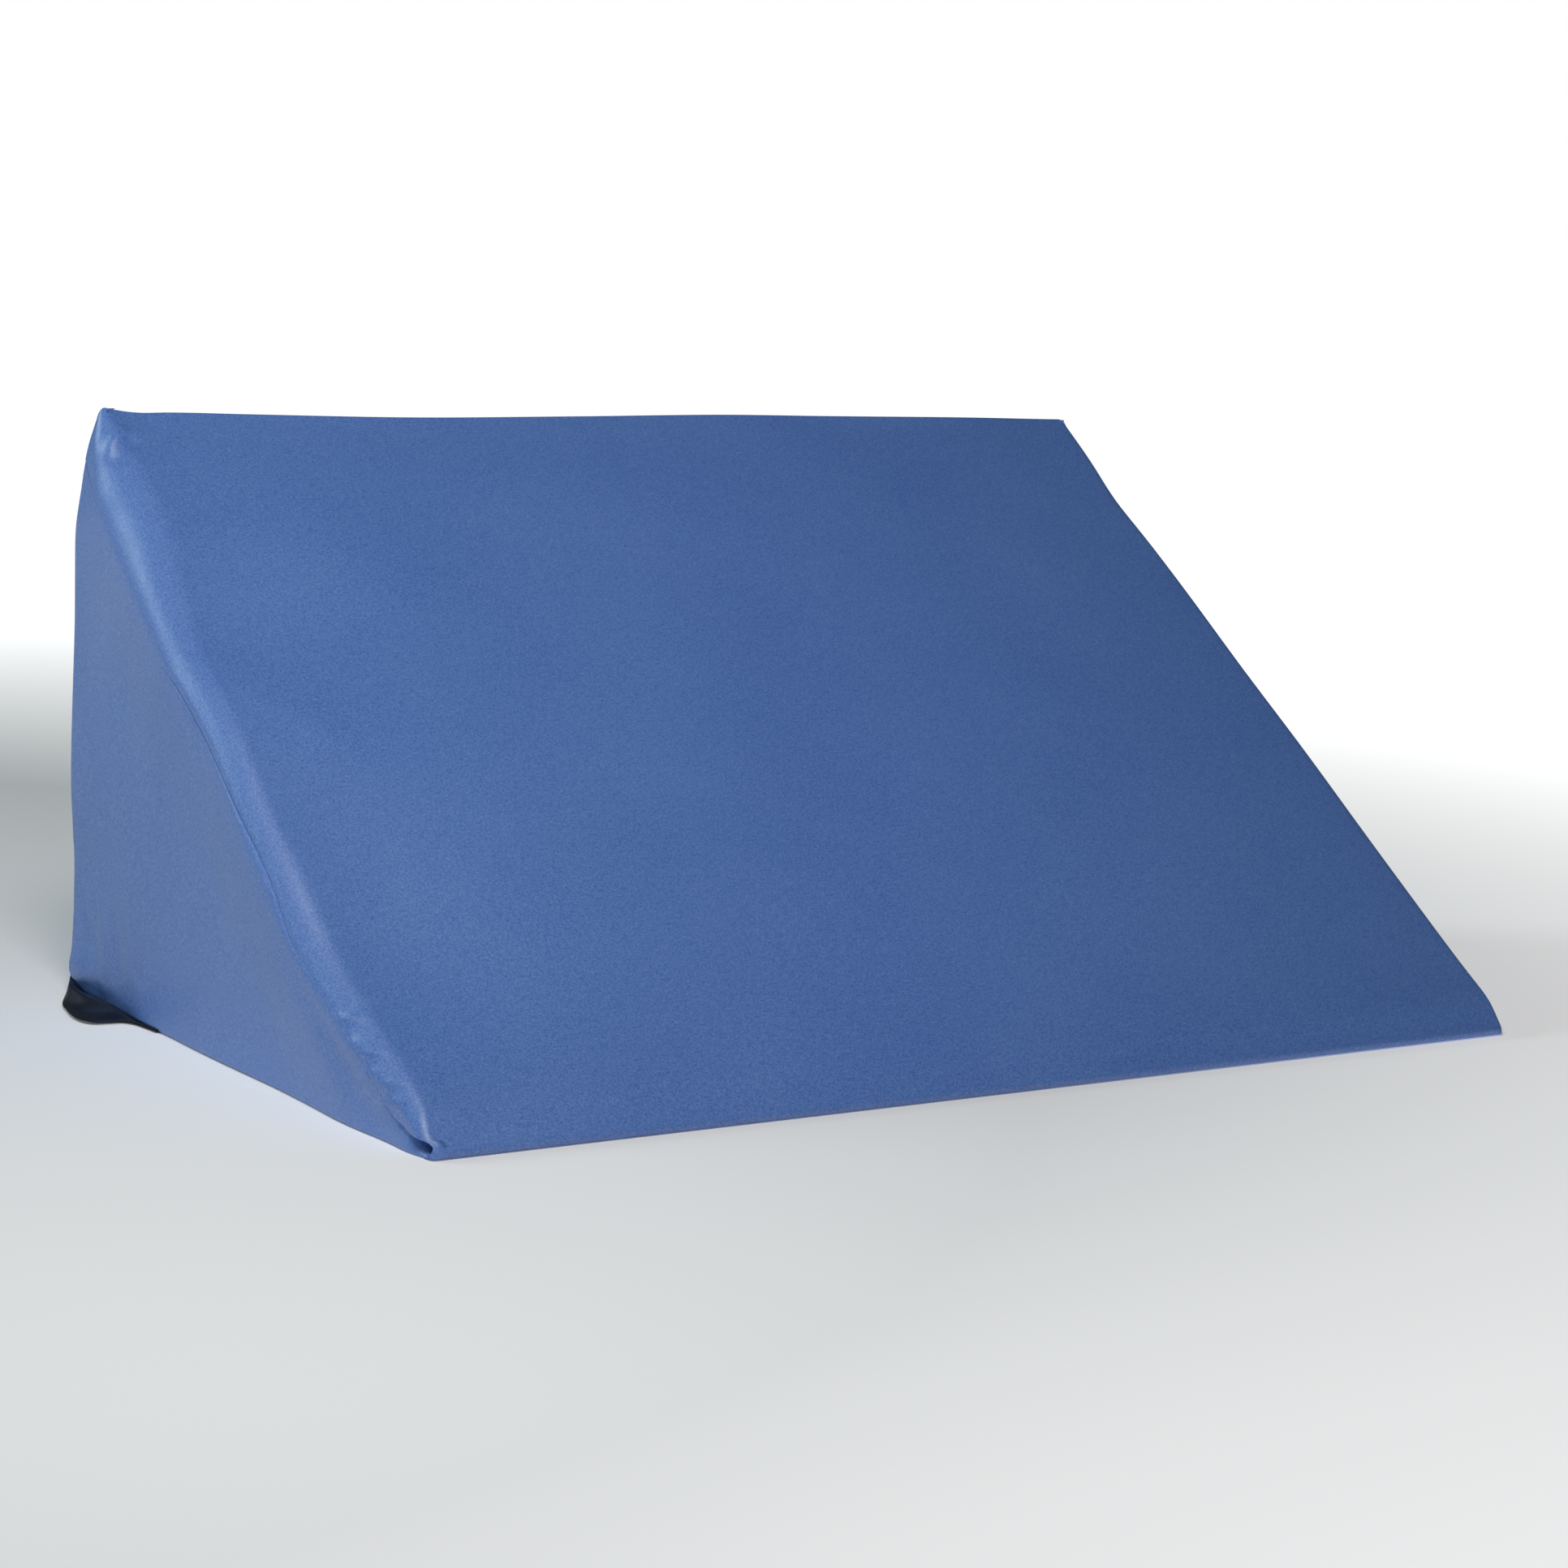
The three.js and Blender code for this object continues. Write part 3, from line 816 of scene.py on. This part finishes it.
def cloth_material(name, colour, spread=(0.6, 0.38, 0.17), shine=0.9):
    """Smooth coated cloth: a fine grain, small pores and slow changes of shade."""
    n = Nodes(name)
    dark = tuple(c * (1 - s) for c, s in zip(colour, spread))
    light = tuple(c * (1 + s) for c, s in zip(colour, spread))
    slow = n.noise(9, 2)
    fine = n.noise(1000, 2)
    shade = n.maths("ADD", n.maths("MULTIPLY", slow, 0.12), n.maths("MULTIPLY", fine, 0.75))
    base = n.ramp(shade, (0.235, dark), (0.635, light))
    grain = n.noise(1500, 3)
    pores = n.add("TexVoronoi", {"Vector": n.places(), "Scale": 900}).outputs["Distance"]
    bump = n.bump(n.maths("ADD", grain, n.maths("MULTIPLY", pores, 0.5)), 0.00012, 0.55)
    bump = n.bump(n.noise(60, 3), 0.0006, 0.25, bump)
    roughness = n.ramp(n.noise(300, 3), (0.3, 0.44), (0.7, 0.5))
    return n.shade(Base_Color=base, Roughness=roughness, Normal=bump, Specular_IOR_Level=shine)


def woven_material(name, colour):
    """Zip tape: a fine plain weave, with painted shade in the grooves between its threads."""
    n = Nodes(name)
    warp = n.add("TexWave", {"Vector": n.places((900, 900, 900)), "Scale": 1.0, "Distortion": 0.6})
    weft = n.add("TexWave", {"Vector": n.places((900, 900, 900)), "Scale": 1.2}, bands_direction="Z")
    weave = n.maths("MULTIPLY", warp.outputs["Fac"], weft.outputs["Fac"])
    # Painted shade: the colour darkens to 0.6 of the tape's colour where the weave's bump is lowest, between
    # the threads.
    base = n.ramp(weave, (0, tuple(c * 0.6 for c in colour)), (1, colour))
    return n.shade(Base_Color=base, Roughness=0.85, Normal=n.bump(weave, 0.0002, 0.6))


def plastic_material(name, colour):
    n = Nodes(name)
    base = n.ramp(n.noise(400, 2), (0.3, tuple(c * 0.85 for c in colour)), (0.7, colour))
    return n.shade(Base_Color=base, Roughness=n.ramp(n.noise(900, 2), (0.3, 0.35), (0.7, 0.5)))


def metal_material(name):
    """Zinc slider metal, brushed and slightly worn."""
    n = Nodes(name)
    brushed = n.noise(300, 3, n.places((1, 8, 8)))
    base = n.ramp(brushed, (0.3, linear(112, 116, 122)), (0.7, linear(176, 180, 184)))
    roughness = n.ramp(brushed, (0.3, 0.42), (0.7, 0.26))
    return n.shade(Base_Color=base, Roughness=roughness, Metallic=1.0, Normal=n.bump(brushed, 0.00005, 0.3))


def foam_material(name):
    """Open-cell foam: pale, dull and full of small pores, with painted shade darkening the pits of the
    pores.
    """
    n = Nodes(name)
    cells = n.add("TexVoronoi", {"Vector": n.places(), "Scale": 700}).outputs["Distance"]
    # Painted shade: the base colour darkens towards each cell's middle, where the bump sinks into a pore.
    base = n.ramp(cells, (0.1, linear(150, 140, 112)), (0.5, linear(222, 214, 190)))
    return n.shade(Base_Color=base, Roughness=0.95, Normal=n.bump(cells, 0.0006, 0.8))


# ---------------------------------------------------------------- the making

blue = cloth_material("coated_cloth_blue", linear(92, 131, 202))
# Near-black navy for the base cloth: partly the base's own dark colour and partly painted shade, which keeps
# the flap at the left back corner near-black under any light, as if in deep shade.
navy = cloth_material("base_cloth_dark_and_painted_shade", linear(11, 17, 34), shine=0.35)
tape_cloth = woven_material("zip_tape_weave", linear(40, 56, 82))
tooth_plastic = plastic_material("zip_tooth_nylon", linear(34, 46, 68))
zip_metal = metal_material("zip_zinc")
foam_cells = foam_material("foam_open_cell")

slope_panel(blue)
side_panel(LEFT, "cover_left", "cover_side_left", blue)
side_panel(RIGHT, "cover_right", "cover_side_right", blue)
back_panels(blue)
zip_guard(navy)
# The base and its flap take that near-black cloth, which is partly painted shade.
base_panel(navy)


# ---------------------------------------------------------------- the foam


def foam_block(material):
    """The foam wedge, just inside the cover, with a groove across its back for the zip."""
    room, tight_room, side_room = 4 * MM, 2 * MM, 6 * MM
    groove, groove_half = 11 * MM, 20 * MM
    low, high = ZIP_Z - groove_half, ZIP_Z + groove_half
    back = BACK - room
    start = (back, high + 20 * MM)
    corners = [
        start, (back, TOP - tight_room), BREAK - room * OUT, (TOE + tight_room, room), (back, room),
        (back, low), (BACK - groove, low), (BACK - groove, high), (back, high), start,
    ]
    radii = [4 * MM, 20 * MM, 1.2 * MM, 4 * MM, 3 * MM, 2 * MM, 2 * MM, 3 * MM]
    path = rounded_path(corners, radii, 3 * MM)
    middle = np.array([0.05, 0.1])  # the point that each ring shrinks towards as the ends round off
    radius, end = 30 * MM, HALF - side_room
    flat_rings = 24
    angles = np.linspace(0, math.pi / 2, 9)[1:]
    rounding = end - radius + radius * np.sin(angles)
    half_x = np.concatenate([np.linspace(0, end - radius, flat_rings), rounding])
    half_inset = np.concatenate([np.zeros(flat_rings), radius * (1 - np.cos(angles))])
    x = np.concatenate([-half_x[:0:-1], half_x])
    inset = np.concatenate([half_inset[:0:-1], half_inset])
    towards = middle - path
    length = np.linalg.norm(towards, axis=1, keepdims=True)
    rings = [path + towards / length * np.minimum(i, 0.3 * length) for i in inset]
    points = np.array([[(x_k, y, z) for y, z in ring] for x_k, ring in zip(x, rings)])
    u, d = slope_place(points[..., 1], points[..., 2])
    near = 1 - smooth(d, 8 * MM, 60 * MM)
    points = lifted(points, points[..., 0], u, near)
    points = sunk_by(points, sagged(points[..., 0], u) * near)
    faces = [tuple(f) for f in grid_faces(*points.shape[:2])]
    count = len(path)
    faces += [tuple(range(count)), tuple(range((len(x) - 1) * count, len(x) * count))]
    obj = weld(mesh_piece("foam", points, faces, material), 0.3 * MM)
    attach(obj, "mat")
    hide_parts("foam_core")


# ---------------------------------------------------------------- the zip


def rounded_bar(length, width, height, segments=8):
    """Points and faces of a bar along X with rounded edges and ends, about the origin."""
    sections = [(-0.5, 0.55), (-0.42, 0.9), (-0.3, 1), (0.3, 1), (0.42, 0.9), (0.5, 0.55)]
    points = []
    for place, scale in sections:
        for k in range(segments):
            angle = 2 * math.pi * (k + 0.5) / segments
            c, s = math.cos(angle), math.sin(angle)
            squared = [math.copysign(abs(v) ** 0.7, v) for v in (c, s)]
            points.append((place * length, squared[0] * width / 2 * scale, squared[1] * height / 2 * scale))
    faces = []
    for ring in range(len(sections) - 1):
        for k in range(segments):
            a, b = ring * segments + k, ring * segments + (k + 1) % segments
            faces.append((a, a + segments, b + segments, b))
    faces.append(tuple(range(segments)))
    faces.append(tuple(reversed(range((len(sections) - 1) * segments, len(sections) * segments))))
    return np.array(points), faces


def repeated(name, matrices, shape, material):
    """One piece made of many copies of a small shape."""
    points, faces = shape
    all_points, all_faces = [], []
    for matrix in matrices:
        start = len(all_points) * len(points)
        all_points.append(points @ np.array(matrix.to_3x3()).T + np.array(matrix.translation))
        all_faces += [tuple(v + start for v in face) for face in faces]
    return mesh_piece(name, np.concatenate(all_points), all_faces, material)


def zip_teeth(material):
    """The coil: two rows of nylon loops, each row's loops lying between the other's."""
    pitch = 1.3 * MM
    for half, way in (("upper", 1), ("lower", -1)):
        name, node = "zip_teeth_" + half, "zip_coil_" + half
        low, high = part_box(node)
        middle_y, middle_z = (low.y + high.y) / 2, (low.z + high.z) / 2
        length = abs(high.z - low.z)
        count = int((high.x - low.x - pitch) / pitch)
        matrices = []
        for k in range(count):
            x = low.x + pitch * (k + 0.5 + 0.25 * way)
            turn = Matrix.Rotation(math.radians(90), 4, "Y") @ Matrix.Rotation(way * 0.12, 4, "X")
            matrices.append(Matrix.Translation((x, middle_y, middle_z)) @ turn)
        shape = rounded_bar(length, high.y - low.y, 0.95 * MM)
        obj = repeated(name, matrices, shape, material)
        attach(obj, "mat")
        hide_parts(node)


def stitching(material):
    """A row of stitches along each side of the zip, holding the hems to the tapes."""
    pitch, length = 3.6 * MM, 2.7 * MM
    matrices = []
    for z, tilt in ((MOUTH_HIGH + 5 * MM, 0.05), (MOUTH_LOW - 5 * MM, -0.05)):
        count = int(2 * (HALF - 12 * MM) / pitch)
        for k in range(count):
            x = (k - (count - 1) / 2) * pitch
            turn = Matrix.Rotation(tilt, 4, "Y")
            matrices.append(Matrix.Translation((x, BACK - 0.05 * MM, z)) @ turn)
    obj = repeated("zip_stitching", matrices, rounded_bar(length, 0.5 * MM, 0.55 * MM, 6), material)
    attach(obj, "mat")


def dress(node, material, bevel=0.25 * MM):
    """A CAD node with its own material and rounded edges."""
    obj = bpy.data.objects[node]
    for slot in obj.material_slots or [None]:
        if slot is None:
            obj.data.materials.append(material)
        else:
            slot.material = material
    if bevel:
        modifier = obj.modifiers.new("bevel", "BEVEL")
        modifier.width = bevel
        modifier.segments = 2
        modifier.limit_method = "ANGLE"
        modifier.angle_limit = math.radians(50)


foam_block(foam_cells)
zip_teeth(tooth_plastic)
stitching(blue)
for name in ("zip_tape_upper", "zip_tape_lower"):
    dress(name, tape_cloth, 0)
for name in ("zip_slider", "zip_pull", "zip_top_stop_upper", "zip_top_stop_lower", "zip_bottom_stop"):
    dress(name, zip_metal)

# ---------------------------------------------------------------- floor, light and camera


def floor():
    """A plain pale floor, which glows, but not where the mat's left side would mirror it."""
    size, drop = 30.0, 0.2 * MM
    dim_spot, dim_reach, full_reach = (-0.75, 0.3, 0), 0.9, 2.0
    n = Nodes("floor")
    away = n.add("VectorMath", {0: n.places(), 1: dim_spot}, operation="DISTANCE").outputs["Value"]
    reach = {"From Min": dim_reach, "From Max": full_reach}
    glow = n.add("MapRange", {"Value": away, **reach, "To Min": 0.1, "To Max": 1.0})
    n.shade(Base_Color=(0.9, 0.9, 0.9, 1), Roughness=0.9, Emission_Color=(1, 1, 1, 1))
    n.shade(Emission_Strength=glow.outputs["Result"])
    corners = [(-size, -size), (size, -size), (size, size), (-size, size)]
    obj = mesh_piece("floor", [(x, y, -drop) for x, y in corners], [(0, 1, 2, 3)], n.material, False)


def area_light(name, direction, distance, size, power, colour=(1, 1, 1)):
    """A soft light, that way from the mat, shining at it."""
    light = bpy.data.lights.new(name, "AREA")
    light.shape = "DISK"
    light.size = size
    light.energy = power
    light.color = colour
    obj = bpy.data.objects.new(name, light)
    bpy.context.scene.collection.objects.link(obj)
    obj.location = Vector(CENTRE) + Vector(direction).normalized() * distance
    obj.rotation_euler = Vector(direction).to_track_quat("Z", "Y").to_euler()


def world(ambient):
    """A white backdrop, which lights the mat less brightly than it looks."""
    settings = bpy.data.worlds.new("studio")
    bpy.context.scene.world = settings
    settings.use_nodes = True
    tree = settings.node_tree
    tree.nodes.clear()
    out = tree.nodes.new("ShaderNodeOutputWorld")
    mix = tree.nodes.new("ShaderNodeMixShader")
    path = tree.nodes.new("ShaderNodeLightPath")
    for socket, strength in ((1, ambient), (2, 1.0)):
        background = tree.nodes.new("ShaderNodeBackground")
        background.inputs["Color"].default_value = (1, 1, 1, 1)
        background.inputs["Strength"].default_value = strength
        tree.links.new(background.outputs[0], mix.inputs[socket])
    tree.links.new(path.outputs["Is Camera Ray"], mix.inputs[0])
    tree.links.new(mix.outputs[0], out.inputs["Surface"])


def camera(azimuth, elevation, roll, lens, place):
    """The camera, looking level along +Y at azimuth 0."""
    a, e, r = (math.radians(v) for v in (azimuth, elevation, roll))
    right = Vector((math.cos(a), math.sin(a), 0))
    back = Vector((math.sin(a) * math.cos(e), -math.cos(a) * math.cos(e), math.sin(e)))
    up = back.cross(right)
    tilted = right * math.cos(r) + up * math.sin(r), up * math.cos(r) - right * math.sin(r)
    data = bpy.data.cameras.new("camera")
    data.lens = lens
    data.sensor_width = 36
    obj = bpy.data.objects.new("camera", data)
    bpy.context.scene.collection.objects.link(obj)
    turn = Matrix([tilted[0], tilted[1], back]).transposed().to_4x4()
    obj.matrix_world = Matrix.Translation(place) @ turn
    bpy.context.scene.camera = obj


floor()
world(ambient=0.02)
area_light("key", (-0.62, -0.66, 1.02), distance=1.36, size=0.5, power=9.2)
area_light("rim", (-0.58, 0.61, 0.53), distance=2.4, size=0.8, power=12.5, colour=(0.8, 1, 1.03))
camera(azimuth=-33.3, elevation=8.0, roll=1.95, lens=82.2, place=(-0.9902, -1.4922, 0.3695))
bpy.context.scene.view_settings.view_transform = "Standard"

# ---------------------------------------------------------------- the last update


bpy.context.view_layer.update()
